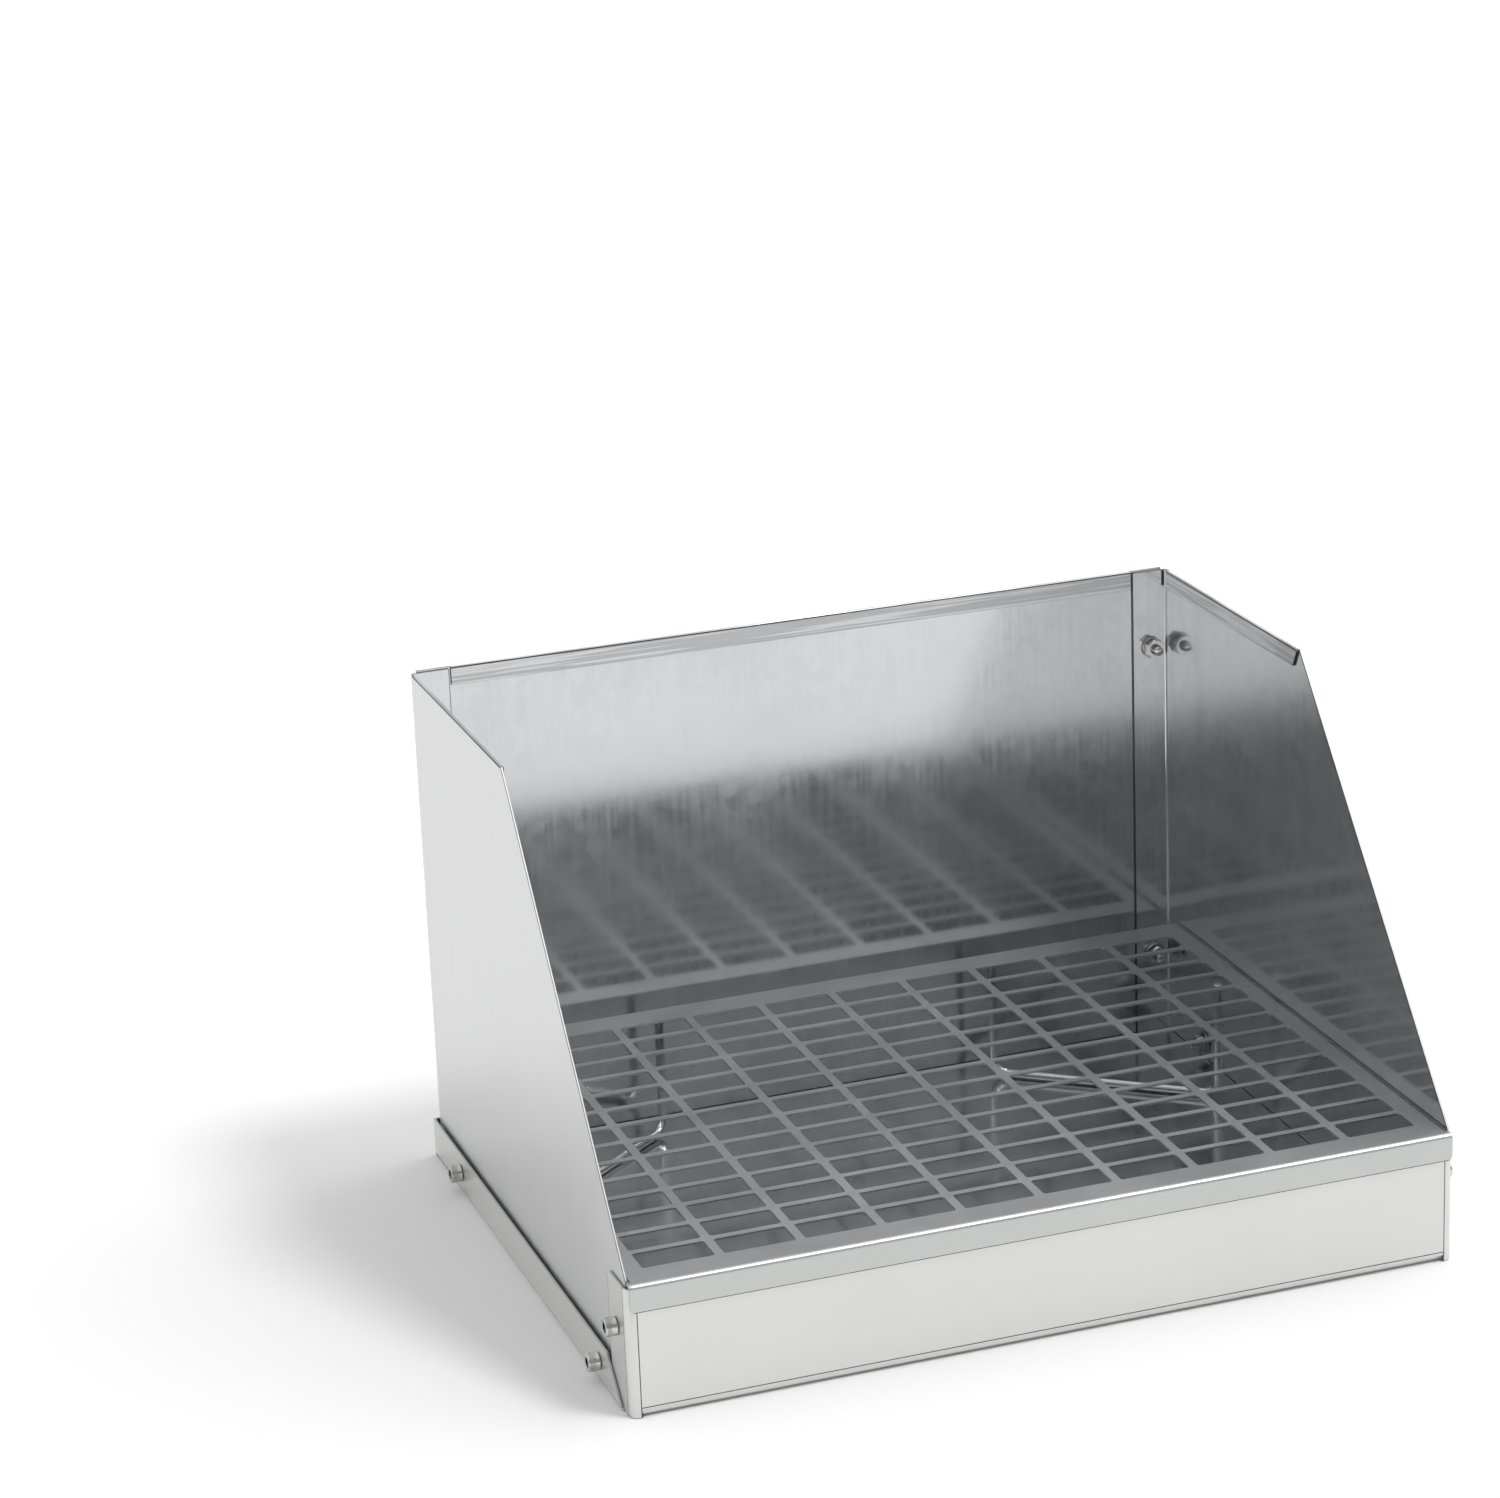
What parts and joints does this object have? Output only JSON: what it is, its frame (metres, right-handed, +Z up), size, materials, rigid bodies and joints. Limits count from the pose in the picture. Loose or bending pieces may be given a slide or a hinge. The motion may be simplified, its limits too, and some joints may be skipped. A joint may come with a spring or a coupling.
{
  "type": "rabbit litter box",
  "caption": "High-backed, open-front rabbit litter box of bolted sheet-metal panels round a shallow pan, with a lift-out slotted grate that keeps the animal above the litter.",
  "frame": {"origin": "middle of the overall box's bottom face, on the floor under the pan", "axes": "+Z up; the open front with the grate's lip faces -Y; +X to the right seen from the front"},
  "size_m": [0.463, 0.3564, 0.283],
  "materials": {
    "pan_steel": "satin bright sheet",
    "panel_steel": "bright sheet, faintly mottled, near mirror inside",
    "grate_steel": "satin blue-grey sheet with bright cut edges",
    "rod_steel": "bright drawn rod",
    "fastener_steel": "bright plated"
  },
  "bodies": {
    "box": {"base_pan": "pan_steel", "left_side_panel": "panel_steel", "right_side_panel": "panel_steel", "back_panel": "panel_steel", "left_support_rod": "rod_steel", "right_support_rod": "rod_steel", "left_tab_screw": "fastener_steel", "left_tab_washer": "fastener_steel", "left_tab_nut": "fastener_steel", "left_front_pan_screw": "fastener_steel", "left_front_pan_washer": "fastener_steel", "left_front_pan_nut": "fastener_steel", "left_rear_pan_screw": "fastener_steel", "left_rear_pan_washer": "fastener_steel", "left_rear_pan_nut": "fastener_steel", "left_upper_back_screw": "fastener_steel", "left_upper_back_washer": "fastener_steel", "left_upper_back_nut": "fastener_steel", "left_lower_back_screw": "fastener_steel", "left_lower_back_washer": "fastener_steel", "left_lower_back_nut": "fastener_steel", "right_tab_screw": "fastener_steel", "right_tab_washer": "fastener_steel", "right_tab_nut": "fastener_steel", "right_front_pan_screw": "fastener_steel", "right_front_pan_washer": "fastener_steel", "right_front_pan_nut": "fastener_steel", "right_rear_pan_screw": "fastener_steel", "right_rear_pan_washer": "fastener_steel", "right_rear_pan_nut": "fastener_steel", "right_upper_back_screw": "fastener_steel", "right_upper_back_washer": "fastener_steel", "right_upper_back_nut": "fastener_steel", "right_lower_back_screw": "fastener_steel", "right_lower_back_washer": "fastener_steel", "right_lower_back_nut": "fastener_steel"},
    "grate": {"grate": "grate_steel"}
  },
  "joints": [
    {"name": "grate_lift", "type": "slide", "parent": "box", "child": "grate", "axis": [0, 0, 1], "range_m": [0, 0.24]}
  ]
}
